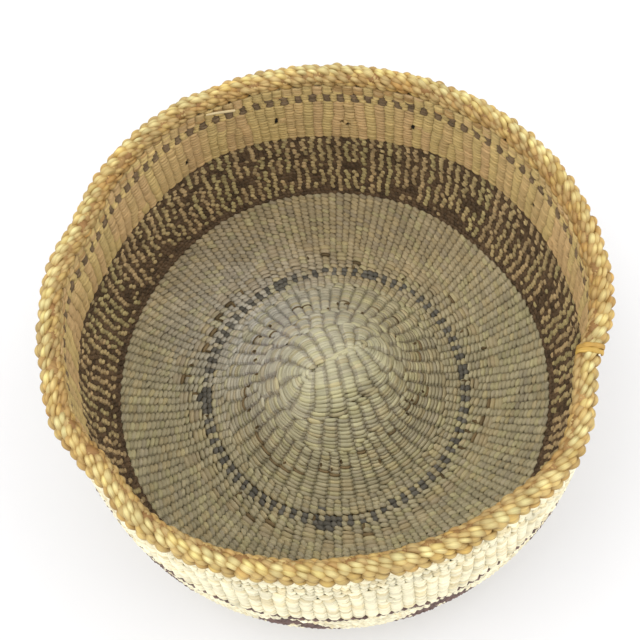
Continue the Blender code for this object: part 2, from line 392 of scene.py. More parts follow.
def open_holes(rows):
    """Parts two ribs for two courses at each dropped warp, with a deep stitch between."""
    for azimuth, along in HOLES:
        spot = (radians(azimuth) - SEAM) % tau
        for k, (_, begin, end) in enumerate(COURSES):
            pitch = end - begin
            away = begin + pitch * (spot / tau + 0.5) - along
            if not -0.2 <= away < 1.9 * pitch:
                continue
            row = rows[k]
            i = 1 + int(np.argmin(np.abs(row["edges"][1:-1] - spot)))
            side = np.array([-1, 1]) * HOLE_HALF / WALL_RADIUS
            row["edges"] = np.concatenate([row["edges"][:i], row["edges"][i] + side, row["edges"][i + 1:]])
            row["marks"] = np.insert(row["marks"], i, HOLE)


ROWS, NOTCHES = grow_ribs()
RIB_ROWS = [dict(row) for row in ROWS]
open_holes(ROWS)
for k, row in enumerate(ROWS):
    if COURSES[k][0] in TWO_COLOUR:
        two_colour_row(row, COURSES[k][0], k)


# Stitches: one for each rib and course on either face of the wall


def gather_stitches():
    """All stitches of a face in one table, from the seam on, course by course."""
    parts = []
    for k, row in enumerate(ROWS):
        n = len(row["marks"])
        parts.append((np.full(n, k), np.arange(n), row["edges"][:-1], row["edges"][1:], row["marks"]))
    made = dict(zip(("row", "rib", "left", "right", "mark"), map(np.concatenate, zip(*parts))))
    for i, key in enumerate(("band", "begin", "end")):
        made[key] = np.array([COURSES[k][i] for k in made["row"]])
    made["form"] = np.array([FORMS[name] for name in made["band"]])
    across = made["left"] + made["right"]
    made["s"] = made["begin"] + (made["end"] - made["begin"]) * across / 2 / tau
    made["turn"] = SEAM + across / 2
    return made


ST = gather_stitches()
COUNT = len(ST["row"])
S, TURN, ROW, BAND, MARK = (ST[key] for key in ("s", "turn", "row", "band", "mark"))
EVEN = ST["rib"] % 2 == 0
COLUMN = np.floor(TURN / tau * 166).astype(int)  # steady from course to course, by azimuth


def hash01(a, b, salt):
    """A steady number from 0 to 1 for a and b."""
    v = np.sin(a * 127.1 + b * 311.7 + salt * 74.7) * 43758.5453
    return v - np.floor(v)


def blend(a, b, share):
    return a + (b - a) * share[:, None]


def paint(colour, chosen, base, shade):
    """The base colour for the chosen stitches, each in its own shade."""
    colour[chosen] = base * shade[chosen][:, None]


# Patches on the inside, by azimuth, arc length, half width in degrees, half height in mm
BLOTCHES = (
    (75.6, 94, 3.2, 3.4), (42.4, 94, 3.0, 3.0), (157.8, 110, 2.2, 2.6), (151, 114.5, 1.6, 1.6),
    (137.8, 84.5, 4.5, 2.2), (129.5, 84, 4.0, 2.0), (62.4, 85, 4.5, 2.0), (46.3, 84, 5.0, 2.0),
    (104.9, 93, 2.2, 2.0), (93.8, 90, 2.6, 2.6), (170, 99, 2.0, 2.4), (12, 96, 2.4, 2.6),
    (24, 104, 1.8, 2.0), (118, 103, 1.6, 2.0), (-30, 97, 2.4, 2.4), (-62, 91, 3.0, 2.4),
    (-97, 101, 2.0, 2.2), (-140, 95, 2.6, 2.6), (-12, 108, 1.6, 2.0), (-160, 106, 1.8, 1.8),
)
# Dark places in the dotted ring: azimuth and half width in degrees
RING_BLOTS = ((-99, 5.0), (64, 2.4), (109, 3.0), (178, 4.6), (-3, 1.6))

PALE = srgb(199, 194, 157)
KHAKI = srgb(181, 172, 140)
KHAKI_SHEEN_GREY = srgb(195, 193, 184)
KHAKI_WARM = srgb(192, 172, 126)
KHAKI_DULL = srgb(158, 148, 134)
KHAKI_BACK = srgb(186, 164, 128)
YELLOWISH = srgb(200, 194, 142)
PATCH = srgb(190, 168, 130)
NOTCH = srgb(112, 96, 68)
CHARCOAL = srgb(106, 103, 94)
BROWN = srgb(98, 79, 58)
HOLE_SHADOW = srgb(34, 30, 28)
SPECK = srgb(192, 171, 124)
SPECK_PINK = srgb(190, 165, 122)
SPECK_GREEN = srgb(188, 172, 122)
TAN = srgb(208, 179, 125)
TAN_PINK = srgb(208, 176, 126)
TAN_YELLOW = srgb(208, 183, 124)
DASH = srgb(128, 108, 82)
GAP_LIGHT = srgb(216, 190, 128)
RICH = srgb(184, 150, 98)
CREAM = srgb(244, 236, 204)
CREAM_DIM = srgb(218, 196, 142)
OUTER_DARK = srgb(104, 82, 76)
OUTER_BASE = srgb(196, 176, 130)
SHOOT = srgb(150, 122, 78)


def colour_base(colour, ends, u):
    """Khaki and pale stitches of the base, with dark notches where warps are put in."""
    x, y = S * np.cos(TURN), S * np.sin(TURN)
    floor = np.isin(BAND, ("start", "inner", "ring", "outer"))
    base = blend(PALE, KHAKI, clamp((S - 12 + 5 * np.sin(TURN * 2 + 1)) / 26))
    base = blend(base, KHAKI_BACK, 0.5 * clamp((y - 10) / 40) * (S > 44))
    # Painted sheen: greyer and paler on the base towards the back left, where the light from the back left
    # glances off it.
    base = blend(base, KHAKI_SHEEN_GREY, 0.8 * clamp(1.2 - np.hypot(x + 25, y - 26) / 38))
    spread = 0.5 + 0.5 * np.sin(x * 0.21 + 2 * np.sin(y * 0.13)) * np.sin(y * 0.19 + 1.5 * np.sin(x * 0.11))
    base = blend(base, YELLOWISH, 0.4 * (u[0] < 0.4 * spread))
    base = blend(base, KHAKI_WARM, 0.35 * (u[1] < 0.4 * (1 - spread)))
    base = blend(base, KHAKI_DULL, 0.3 * (u[1] > 0.88))
    base = base * (0.86 + 0.28 * u[2])[:, None]
    base = base * np.interp(S, [10, 20, 30, 50], [0.96, 1.0, 1.0, 1.05])[:, None]
    # Painted shade: darker towards the front of the middle of the base, and towards the back.
    painted_front_shade = 0.05 * clamp(-y / 25) * (S < 44)
    painted_back_shade = 0.04 * clamp((y - 42) / 15)
    base = base * (1 - painted_front_shade - painted_back_shade)[:, None]
    colour[floor] = base[floor]
    # Painted shade: the stitches' ends, where each dives under its neighbour, are darker, as in the creases
    # between them.
    painted_groove_shade = np.where(S[:, None] < 34, [0.62, 0.58, 0.68], [0.6, 0.6, 0.6])
    ends[floor] = (base * painted_groove_shade)[floor]
    wide = np.isin(MARK, (NOTCHED, WIDE)) & (BAND == "outer")
    colour[wide] = (base + (PATCH - base) * 0.3)[wide]
    # painted shade at their ends as well
    ends[wide] = colour[wide] * 0.85
    deep = (MARK == NOTCHED) & (S > 20) & (u[4] < np.where(S < 45, 0.35, 0.28))
    paint(colour, deep, NOTCH, 0.8 + 1.0 * u[3])
    # painted shade at their ends as well
    ends[deep] = colour[deep] * 0.8


def colour_ring(colour, ends, u):
    """Charcoal dashes, which run together in a few places."""
    ring = BAND == "ring"
    dark = ring & ~EVEN & (u[1] < 0.95)
    beside = (np.abs(S - ALONG[5] - 0.5) < 1) | (np.abs(S - ALONG[4] + 0.5) < 1)
    for azimuth, half in RING_BLOTS:
        near = np.abs(np.degrees(angle_from(TURN, azimuth))) < half
        dark |= near & (ring & (u[5] < 0.8) | beside & (u[4] < 0.4))
    paint(colour, dark, CHARCOAL, 0.75 + 0.6 * u[3])
    # darker ends: painted shade
    ends[dark] = colour[dark] * 0.85


def colour_speckled(colour, ends, u):
    """Light stitches over a dark strand, with none at the blotches. Says which are light."""
    speckled = np.isin(BAND, ("line", "lower", "upper"))
    first = ROW[BAND == "line"].min()
    chance = np.where(BAND == "upper", 0.92, 0.95)
    chance[ROW == ROW[BAND == "upper"].max()] = 0.6
    chance[ROW == first] = 0.0
    chance[ROW == first + 1] = 0.25
    run = hash01(ST["rib"], np.floor((ROW + hash01(ST["rib"], 0, 7) * 3) / 2.2), 3)
    light = EVEN & (run < chance) & (u[4] < 0.93)
    for azimuth, along, half, high in BLOTCHES:
        away = np.degrees(angle_from(TURN, azimuth))
        light &= ~((away / half) ** 2 + ((S - along) / high) ** 2 < 1 + 0.5 * (u[5] - 0.5))
    lit, dark = speckled & light, speckled & ~light
    warm = hash01(COLUMN, 0, 17)
    mixed = blend(blend(SPECK, SPECK_PINK, warm < 0.3), SPECK_GREEN, warm > 0.7)
    colour[lit] = (mixed * (0.72 + 0.5 * u[2])[:, None])[lit]
    paint(colour, dark, BROWN, 0.6 + 0.8 * u[2])
    paint(ends, speckled, BROWN, 0.9 + 0.5 * u[3])
    return lit


def colour_plain(colour, ends, u):
    """Tan ribs of the plain band and under the rim, and the row of dashes between them."""
    plain, top, dash = np.isin(BAND, ("plain", "top")), BAND == "top", BAND == "dash"
    kind = hash01(COLUMN, 0, 31)
    tan = blend(blend(TAN, TAN_PINK, kind < 0.36), TAN_YELLOW, kind > 0.62)
    tan = tan * (0.93 + 0.14 * u[2])[:, None] * (0.95 + 0.1 * hash01(COLUMN, 0, 33))[:, None]
    colour[plain] = tan[plain]
    # darker ends: painted shade in the grooves between the ribs
    ends[plain] = tan[plain] * 0.72
    paint(colour, top & (u[4] < 0.18), RICH, 0.85 + 0.3 * u[3])
    paint(colour, top & (u[4] > 0.8), GAP_LIGHT, 0.9 + 0.25 * u[3])
    paint(colour, dash & ~EVEN, DASH, 0.72 + 0.5 * u[3])
    paint(colour, dash & EVEN, GAP_LIGHT, 0.82 + 0.28 * u[3])
    # darker ends: painted shade
    ends[dash & ~EVEN] = DASH * 0.7
    ends[dash & EVEN] = GAP_LIGHT * 0.6


def colour_inner():
    """Colours of the inner face's stitches and of their ends, mostly darker as painted shade, and the light
    ones.
    """
    u = [rng.random(COUNT) for _ in range(6)]
    colour = np.zeros((COUNT, 3))
    ends = np.zeros((COUNT, 3))
    colour_base(colour, ends, u)
    colour_ring(colour, ends, u)
    lit = colour_speckled(colour, ends, u)
    colour_plain(colour, ends, u)
    # Painted shadow: the deep stitch at each dropped warp, and its ends, are black, as the shadow in the
    # hole.
    colour[MARK == HOLE] = HOLE_SHADOW
    ends[MARK == HOLE] = HOLE_SHADOW
    return colour, ends, lit


FIGURES = 12  # stepped figures round the outside


def colour_outer():
    """Cream courses outside, with stepped dark figures between two dark ones."""
    u = [rng.random(COUNT) for _ in range(4)]
    colour = blend(OUTER_BASE, CREAM, clamp((S - 60) / 20))
    colour = blend(colour, CREAM_DIM, 0.45 * (u[0] < 0.22))
    colour = colour * (0.86 + 0.24 * u[1])[:, None]
    colour[S < 60] *= 0.92
    first = ROW[BAND == "line"].max() + 1
    last = ROW[BAND == "upper"].max()
    step = (ROW - first).astype(float)
    wedge = np.abs(TURN / tau * FIGURES % 1 - 0.5) * 2
    stair = np.floor(step / 3) / 7
    figure = (step >= 1) & (ROW < last - 1) & (wedge < 0.92 - stair) & (wedge > 0.30 - stair * 0.6)
    dark = figure | (ROW == last) & (u[2] < 0.8) | (BAND == "line") & (ROW == first - 2)
    dark &= u[2] < 0.97
    paint(colour, dark, OUTER_DARK, 0.75 + 0.6 * u[3])
    # Painted shade: the stitches' ends are darker, most above the speckled bands, as in the grooves between
    # the ribs.
    ends = colour * np.where(S > ALONG[10], 0.6, 0.85)[:, None]
    return colour, ends


INNER, INNER_END_SHADE, LIT = colour_inner()
OUTER, OUTER_END_SHADE = colour_outer()
JITTER = {name: normal((2, COUNT)) for name in ("reach", "width", "along", "slant", "thick")}
SEEDS = rng.random((2, COUNT)) * 40


# Tubes


def strip_map(centres, inside, sides, tiles):
    """Map of the tubes' sides in strips, tiles of them in all, one under the other."""
    steps = np.linalg.norm(np.diff(centres, axis=0), axis=1) * inside[:-1]
    along = np.concatenate([[0], np.cumsum(steps)])
    share = along / (along[-1] * 1.0001) * tiles
    ring = np.flatnonzero(inside)
    tile = np.floor(share[ring] + 1e-9)
    left = clamp(share[ring] - tile)
    right = clamp(share[ring + 1] - tile)
    right = np.where(right - left > 1e-6, right, left + 1e-4)
    margin = 0.04
    side = np.arange(sides)
    low = (tile[:, None] + margin + side / sides * (1 - 2 * margin)) / tiles
    high = (tile[:, None] + margin + (side + 1) / sides * (1 - 2 * margin)) / tiles
    left, right = (np.repeat(edge[:, None], sides, 1) for edge in (left, right))
    corners = ((left, low), (right, low), (right, high), (left, high))
    return np.stack([np.stack(corner, -1) for corner in corners], 2).reshape(-1, 2)


def tube(centres, normals, colour, *values):
    """Arrays of a tube's rings, from values for each ring or one for all of them.

    The values are half width and half thickness in mm, how far along the strand the ring
    lies, a seed for its grain, and how high it stands, from 0 to 1.
    """
    count = len(centres)
    if np.ndim(colour) < 3:
        colour = np.broadcast_to(colour, (count, 3))
    each = [np.full(count, value, float) for value in values]
    return [centres, np.broadcast_to(normals, (count, 3)), colour] + each


def join(parts):
    """The rings of several tubes as one list of arrays."""
    return [np.concatenate(arrays) for arrays in zip(*parts)]


def flat(rows):
    """The first two axes as one, tube after tube."""
    return rows.reshape(-1, *rows.shape[2:])


def add_attribute(mesh, name, kind, domain, field, values):
    layer = mesh.attributes.new(name, kind, domain)
    layer.data.foreach_set(field, values.astype(np.float32).ravel())


def tube_mesh(name, rings, splits, tiles, sides):
    """A mesh of several tubes. splits are the first rings of the tubes after the first one."""
    centres, normals, colour, half_width, half_thick, run, seed, crown = rings
    count = len(centres)
    starts = np.concatenate([[0], splits]).astype(int)
    stops = np.concatenate([splits, [count]]).astype(int)
    inside = np.ones(count, bool)
    inside[stops - 1] = False
    ahead = np.minimum(np.arange(count) + 1, np.repeat(stops - 1, stops - starts))
    behind = np.maximum(np.arange(count) - 1, np.repeat(starts, stops - starts))
    tangent = unit(centres[ahead] - centres[behind])
    wide = unit(np.cross(tangent, normals))
    thick = np.cross(wide, tangent)
    side = np.arange(sides)
    angle = side / sides * tau + pi / 2
    ca, sa = np.cos(angle), np.sin(angle)
    verts = centres[:, None] + wide[:, None] * (half_width[:, None] * ca)[..., None]
    verts = verts + thick[:, None] * (half_thick[:, None] * sa)[..., None]
    quad_ring = np.flatnonzero(inside)
    a = quad_ring[:, None] * sides + side
    b = quad_ring[:, None] * sides + (side + 1) % sides
    quads = np.stack([a, a + sides, b + sides, b], -1).reshape(-1, 4)
    cap_ring = np.stack([starts, stops - 1], 1).ravel()
    turned = np.where(np.arange(len(cap_ring))[:, None] % 2, side, side[::-1])
    caps = cap_ring[:, None] * sides + turned
    mesh = bpy.data.meshes.new(name)
    mesh.vertices.add(count * sides)
    mesh.vertices.foreach_set("co", (verts * MM).astype(np.float32).ravel())
    loops = np.concatenate([quads.ravel(), caps.ravel()]).astype(np.int32)
    mesh.loops.add(len(loops))
    mesh.loops.foreach_set("vertex_index", loops)
    mesh.polygons.add(len(quads) + len(caps))
    begin = np.concatenate([np.arange(len(quads)) * 4, len(quads) * 4 + np.arange(len(caps)) * sides])
    mesh.polygons.foreach_set("loop_start", begin.astype(np.int32))
    mesh.update(calc_edges=True)
    mesh.shade_smooth()
    cap_uv = np.tile(np.stack([0.5 + 0.004 * ca, 0.5 + 0.004 * sa], -1), (len(caps), 1)) * 0.02
    uv = np.concatenate([strip_map(centres, inside, sides, tiles), cap_uv])
    mesh.uv_layers.new(name="OFBake").data.foreach_set("uv", uv.astype(np.float32).ravel())
    if colour.ndim == 3:
        domain, rgb = "POINT", flat(colour)
    else:
        domain, rgb = "FACE", np.concatenate([np.repeat(colour[quad_ring], sides, 0), colour[cap_ring]])
    rgba = np.concatenate([rgb, np.ones((len(rgb), 1))], 1)
    add_attribute(mesh, "tint", "FLOAT_COLOR", domain, "color", rgba)
    around = np.abs(((side / sides + 0.5) % 1) - 0.5) * 4 * np.mean(half_width)
    lay = np.stack(np.broadcast_arrays(run[:, None], around, seed[:, None]), -1)
    add_attribute(mesh, "lay", "FLOAT_VECTOR", "POINT", "vector", lay)
    add_attribute(mesh, "crown", "FLOAT", "POINT", "value", np.repeat(crown, sides))
    return mesh


# Materials


def add_node(tree, kind, sources=(), settings=(), output=0, **traits):
    """Output of a new node with these traits and these inputs."""
    node = tree.nodes.new("ShaderNode" + kind)
    for trait, value in traits.items():
        setattr(node, trait, value)
    for socket, value in dict(settings).items():
        node.inputs[socket].default_value = value
    for socket, source in dict(sources).items():
        tree.links.new(source, node.inputs[socket])
    return node.outputs[output]


def noise(tree, place, scale, detail, rough):
    settings = {"Scale": scale, "Detail": detail, "Roughness": rough}
    return add_node(tree, "TexNoise", {"Vector": place}, settings, "Fac")


def map_range(tree, value, low, high, from_low=0.0, from_high=1.0):
    settings = {"From Min": from_low, "From Max": from_high, "To Min": low, "To Max": high}
    return add_node(tree, "MapRange", {"Value": value}, settings)


def new_material(name):
    made = bpy.data.materials.new(name)
    made.use_nodes = True
    return made, made.node_tree, made.node_tree.nodes["Principled BSDF"].inputs


def fibre_material(name, roughness, streak):
    """Split root and grass: a stitch's own tint with fine streaks along the strand."""
    made, tree, inputs = new_material(name)
    lay = add_node(tree, "Attribute", output="Vector", attribute_name="lay")
    tint = add_node(tree, "Attribute", output="Color", attribute_name="tint")
    crown = add_node(tree, "Attribute", output="Fac", attribute_name="crown")
    place = add_node(tree, "NewGeometry", output="Position")
    stretched = add_node(tree, "VectorMath", {0: lay}, {1: (0.5, 5.5, 1.0)}, operation="MULTIPLY")
    fine = noise(tree, stretched, 1.0, 3.0, 0.6)
    streaks = map_range(tree, fine, 1 - streak, 1 + streak * 0.7, 0.3, 0.7)
    patches = map_range(tree, noise(tree, place, 130.0, 4.0, 0.5), 0.9, 1.08, 0.35, 0.65)
    # Wear and painted shade: darker away from each strand's crown, lighter on it.
    wear_and_shade = map_range(tree, crown, 0.9, 1.03)
    shade = add_node(tree, "Math", {0: streaks, 1: patches}, operation="MULTIPLY")
    shade = add_node(tree, "Math", {0: shade, 1: wear_and_shade}, operation="MULTIPLY")
    sources = {
        "Base Color": add_node(tree, "VectorMath", {0: tint, "Scale": shade}, operation="SCALE"),
        "Roughness": map_range(tree, fine, roughness + 0.12, roughness - 0.1),
        "Normal": add_node(tree, "Bump", {"Height": fine}, {"Strength": 0.35, "Distance": 0.00012}),
    }
    for socket, source in sources.items():
        tree.links.new(source, inputs[socket])
    inputs["Specular IOR Level"].default_value = 0.35
    return made


# Looks of the strands: name, roughness, strength of the streaks
LOOK = {name: fibre_material(name + "_fibre", *values) for name, *values in (
    ("pale", 0.72, 0.16), ("khaki", 0.75, 0.16), ("overlay", 0.66, 0.2),
    ("tan", 0.68, 0.14), ("rim", 0.52, 0.2), ("shoot", 0.7, 0.2),
)}


def add_object(name, data):
    made = bpy.data.objects.new(name, data)
    bpy.context.scene.collection.objects.link(made)
    return made


def add_tubes(name, rings, splits, tiles, look, slot, *nodes, sides=SIDES):
    """One piece of several tubes, with its look, hiding its nodes; slot is not used."""
    piece = add_object(name, tube_mesh(name, rings, splits, tiles, sides))
    piece.data.materials.append(LOOK[look])
    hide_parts(*nodes)
    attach(piece, "root")


def add_short_tubes(name, points, normals, colour, width, thick, run, seed, crown, *rest, sides=SIDES):
    """The same for short tubes with as many rings each; seed has a value for each tube."""
    n, m = points.shape[:2]
    rings = tube(
        flat(points), normals, colour, flat(width), thick,
        np.tile(run, n), np.repeat(seed, m), np.tile(crown, n),
    )
    add_tubes(name, rings, np.arange(1, n) * m, *rest, sides=sides)


# Weave


def course_place(begin, pitch, spot):
    """Arc length of a course at the angle spot from the seam.

    The dotted ring isn't quite round: it lies further out at the front right.
    """
    s = begin + pitch * (spot / tau + 0.5)
    drift = 0.9 * np.cos(SEAM + spot + radians(40)) * np.exp(-((s - 49) / 9) ** 2)
    return s - clamp(0.35 - s * 0.12) + drift


def stitch_sizes(chosen, here, inner, jitter):
    """Reach, half thickness, half width and climb of each stitch, in mm."""
    reach, thick, width, slant, _ = here["form"].T
    s, mark, pitch = here["s"], here["mark"], here["end"] - here["begin"]
    lit = LIT[chosen] & inner
    low = np.isin(here["band"], ("lower", "upper", "line")) & inner & ~lit
    wide = np.isin(mark, (NOTCHED, WIDE)) & (s > 11) & inner
    notched = (mark == NOTCHED) & (s > 20) & inner
    hollow = (mark == HOLE) & inner
    under = ~inner & (s > STAND[0]) & (s < STAND[1])
    reach = reach * (1 + 0.045 * jitter["reach"])
    reach = reach * np.where(lit, 1.02, np.where(low, 0.88, 1.0)) * np.where(hollow, 0.55, 1)
    reach = np.where(under, np.minimum(reach, 1.58), reach)
    thick = thick * (1 + 0.07 * jitter["thick"])
    thick = np.where(under, np.minimum(thick, 0.58), thick)
    width = pitch * width * (1 + 0.06 * jitter["width"])
    width = np.where(wide, pitch * 0.62, np.where(lit, width * 0.9, width))
    width = np.where(notched, pitch * 0.42, width)
    climb = np.where(wide, 0.14, slant * (1 + 0.2 * jitter["slant"])) * pitch
    return reach, thick, width, climb


def strand_rings(chosen, strand):
    """Rings of one strand, whose stitches lie on the inside and the outside by turns."""
    here = {key: value[chosen] for key, value in ST.items()}
    inner = (chosen + strand) % 2 == 0
    side, face = np.where(inner, 1.0, -1.0), np.where(inner, 0, 1)
    jitter = {key: value[face, chosen] for key, value in JITTER.items()}
    reach, thick, width, climb = stitch_sizes(chosen, here, inner, jitter)
    climb = side * climb
    begin, left, shoulder = here["begin"], here["left"], here["form"][:, 4]
    pitch = here["end"] - begin
    half = (here["right"] - left) / 2
    between = (0.0,) if here["band"][0] in TWO_COLOUR else (-0.42, 0.42)
    one = np.ones_like(shoulder)
    t = np.stack([-one, -shoulder, *(shoulder * part for part in between), shoulder, one], 1)
    arc, rise = np.sin(t * pi / 2), np.cos(t * pi / 2)
    spot = (left + half)[:, None] + half[:, None] * t
    s = course_place(begin[:, None], pitch[:, None], spot)
    s = s + (climb[:, None] * arc + (0.05 * jitter["along"] * pitch)[:, None] * rise)
    above = here["s"] > ALONG[11]
    sink = np.where(above, np.where(inner, SINK_ABOVE, SINK_OUTSIDE), SINK)[:, None]
    rounding = np.where(above & ~inner, 0.95, 0.5)[:, None]
    arch = sink + (1 - sink) * clamp(rise) ** rounding
    out = (side * reach)[:, None] * arch
    points = surface(s, SEAM + spot, out)
    normals = unit(surface(s, SEAM + spot, out + 0.2) - points)
    taper = np.where(np.abs(t) > 0.9, 0.8, np.where(np.abs(t) >= shoulder[:, None] - 1e-6, 0.96, 1.0))
    # The end colours, painted shade where each stitch dives under its neighbour, and the dark strand's own
    # brown in the speckled bands, tint the rings at the stitch's ends.
    colour = np.where(inner[:, None], INNER[chosen], OUTER[chosen])
    ends = np.where(inner[:, None], INNER_END_SHADE[chosen], OUTER_END_SHADE[chosen])
    tint = np.repeat(colour[:, None], t.shape[1], 1)
    tint[:, [0, -2, -1]] = ((ends + colour) / 2)[:, None]
    half_width, every = width[:, None] * taper, np.ones_like(t)
    run = (spot - left[:, None]) * np.interp(here["s"], LINE[0], LINE[1])[:, None]
    seed = SEEDS[face, chosen][:, None] * every
    rows = (points, normals, tint, half_width, thick[:, None] * every, run, seed, clamp(rise * 1.5))
    stop = here["right"][-1:]
    s_stop = course_place(begin[-1], pitch[-1], stop) + climb[-1]
    point = surface(s_stop, SEAM + stop)
    tip = (point, normals[-1, -1:], ends[-1:], half_width[-1, :1], thick[-1:], [0.0], [0.0], [0.0])
    return join([[flat(values) for values in rows], tip])


def build_weave(name, first, last, look, slot, node):
    """Both strands of the courses from first up to, not with, last."""
    chosen = np.flatnonzero((ROW >= first) & (ROW < last))
    strands = [strand_rings(chosen, strand) for strand in (0, 1)]
    add_tubes(name, join(strands), [len(strands[0][0])], 32, look, slot, node)


ROW_OF = {}
for k, (band, _, _) in enumerate(COURSES):
    ROW_OF.setdefault(band, [k, k + 1])[1] = k + 1

# Bands as pieces: band, number of pieces, look, slot, node
PIECES = (
    ("start", 1, "pale", "pale_weft", "start_knot"),
    ("inner", 2, "khaki", "khaki_weft", "base_inner_weft"),
    ("ring", 1, "overlay", "charcoal_overlay", "base_dotted_ring"),
    ("outer", 3, "khaki", "khaki_weft", "base_outer_weft"),
    ("line", 1, "overlay", "brown_overlay", "base_edge_line"),
    ("lower", 2, "overlay", "brown_overlay", "wall_speckled_lower"),
    ("upper", 2, "overlay", "brown_overlay", "wall_speckled_upper"),
    ("plain", 2, "tan", "tan_weft", "wall_plain_band"),
    ("dash", 1, "overlay", "charcoal_overlay", "wall_dash_row"),
    ("top", 1, "tan", "tan_weft", "wall_top_weft"),
)
for band, parts, look, slot, node in PIECES:
    low, high = ROW_OF[band]
    cuts = np.round(np.linspace(low, high, parts + 1)).astype(int)
    for n in range(parts):
        label = node + "_weave" + (f"_{n + 1}" if parts > 1 else "")
        build_weave(label, cuts[n], cuts[n + 1], look, slot, node)


# Warps


def build_warps(name, tracks, nodes):
    """Sticks in the middle of the wall, one under each rib."""
    lines, widths, splits, total = [], [], [], 0
    for first, track in tracks:
        if len(track) < 3:
            continue
        steps = list(enumerate(track, first))
        s = np.array([(COURSES[k][1] + COURSES[k][2]) / 2 for k, _ in steps])
        turn = np.array([(RIB_ROWS[k]["edges"][i] + RIB_ROWS[k]["edges"][i + 1]) / 2 for k, i in steps])
        lines.append(surface(s + turn / tau * PITCH, SEAM + turn))
        widths.append(np.array([min(RIB_ROWS[k]["width"][i], 2.6) for k, i in steps]) * 0.4)
        total += len(steps)
        splits.append(total)
    centres = np.concatenate(lines)
    on_base = np.hypot(centres[:, 0], centres[:, 1]) < BASE_RADIUS
    rng.random(total)  # not used, but without it every later draw would change
    normals = np.where(on_base[:, None], UP, -outward(centres))
    run = np.arange(total) * PITCH
    rings = tube(centres, normals, SHOOT, np.concatenate(widths), 0.85, run, 3.0, 0.4)
    add_tubes(name, rings, splits[:-1], 32, "shoot", "peeled_shoot", *nodes)


def rib_tracks():
    """Follows each rib from course to course by its place, from where it begins."""
    tracks, going = [], []
    for k, row in enumerate(RIB_ROWS[:ROW_OF["top"][0]]):
        edges = row["edges"]
        middles = (edges[1:] + edges[:-1]) / 2
        taken = {}
        for track in going:
            j = int(np.argmin(np.abs(middles - track[2])))
            if j in taken or abs(middles[j] - track[2]) > (edges[j + 1] - edges[j]) * 0.75:
                continue
            track[1].append(j)
            track[2] = middles[j]
            taken[j] = track
        for j in range(len(middles)):
            if j not in taken:
                taken[j] = [k, [j], middles[j]]
                tracks.append(taken[j])
        going = list(taken.values())
    return [(first, track) for first, track, _ in tracks]


TRACKS = rib_tracks()
FIRST_WARPS = [f"warp_{k:02d}" for k in range(1, 21)]
ADDED_WARPS = [f"added_warp_{k:02d}" for k in range(1, 21)]
build_warps("first_warps", [track for track in TRACKS if track[0] < ROW_OF["ring"][0]], FIRST_WARPS)
build_warps("added_warps", [track for track in TRACKS if track[0] >= ROW_OF["ring"][0]], ADDED_WARPS)


def build_tips():
    """Cut ends of added warps, which show where each was put in."""
    t = np.linspace(0, 1, 4)
    shown = [notch for notch in NOTCHES if rng.random() < 0.4 and notch[2] > 20]
    lines, widths = [], []
    for left, right, s in shown:
        side = rng.choice([0.24, 0.76])
        spot = left + (right - left) * side + 0.2 * (right - left) * (t - 0.5) * normal()
        along = s - 1.5 + 3.0 * t
        lines.append(surface(along + (spot / tau - 0.5), SEAM + spot, 1.95 - 1.3 * t ** 2))
        widths.append(np.array([0.35, 0.5, 0.5, 0.4]) * (0.9 + 0.3 * rng.random()))
    wide = np.array(widths)
    colour = NOTCH * np.repeat(0.7 + 0.9 * rng.random(len(shown)), len(t))[:, None]
    seed, crown = rng.random(len(shown)) * 30, np.full(len(t), 0.7)
    add_short_tubes(
        "added_warp_tips", np.array(lines), UP, colour, wide, flat(wide) * 0.75, t * 3, seed, crown,
        12, "shoot", "peeled_shoot", *ADDED_WARPS,
    )


build_tips()


# Rim


def round_points(r, azimuth, z):
    """Points at radius, azimuth and level, with the dents of the wall below."""
    r = r + dent_push(azimuth, z)
    return np.stack([r * np.cos(azimuth), r * np.sin(azimuth), z + rim_wave(azimuth)], -1)


RIM_RIBS = 138
CORE = (srgb(156, 120, 70), srgb(144, 106, 60), srgb(166, 132, 80))
GOLD = np.array([srgb(204, 168, 104), srgb(210, 184, 124), srgb(188, 148, 96), srgb(182, 146, 110)])

# Courses of the rim: name, slot and node, radius and level of the middle, the angle that it
# faces (0 is out, 90 is up), half width, thickness of its strands, how far a strand slants
# over a stitch, half length of a stitch in ribs, how far its ends dip, the colour of the
# painted highlight on each strand's crown, and the strand's own colour
RIM_COURSES = (
    ("rim_outer_course", "gold_strand", "rim_outer_row", 73.3, 77.9, 44, 1.3, 0.95, 0.9, 0.55, 1.7,
     srgb(204, 178, 112), srgb(170, 142, 90)),
    ("rim_bead_course", "straw_strand", "rim_bead_row", 71.5, 79.0, 86, 1.25, 0.95, 1.3, 0.6, 1.2,
     srgb(220, 208, 146), srgb(178, 152, 96)),
    ("rim_inner_course", "orange_strand", "rim_inner_row", 69.8, 78.2, 126, 1.2, 0.8, 1.4, 0.6, 1.1,
     srgb(194, 170, 112), srgb(164, 134, 84)),
    ("rim_lower_inner_course", "orange_strand", "rim_inner_row", 69.0, 76.7, 170, 1.2, 0.7, 1.3, 0.62, 1.0,
     srgb(198, 172, 114), srgb(168, 136, 84)),
)


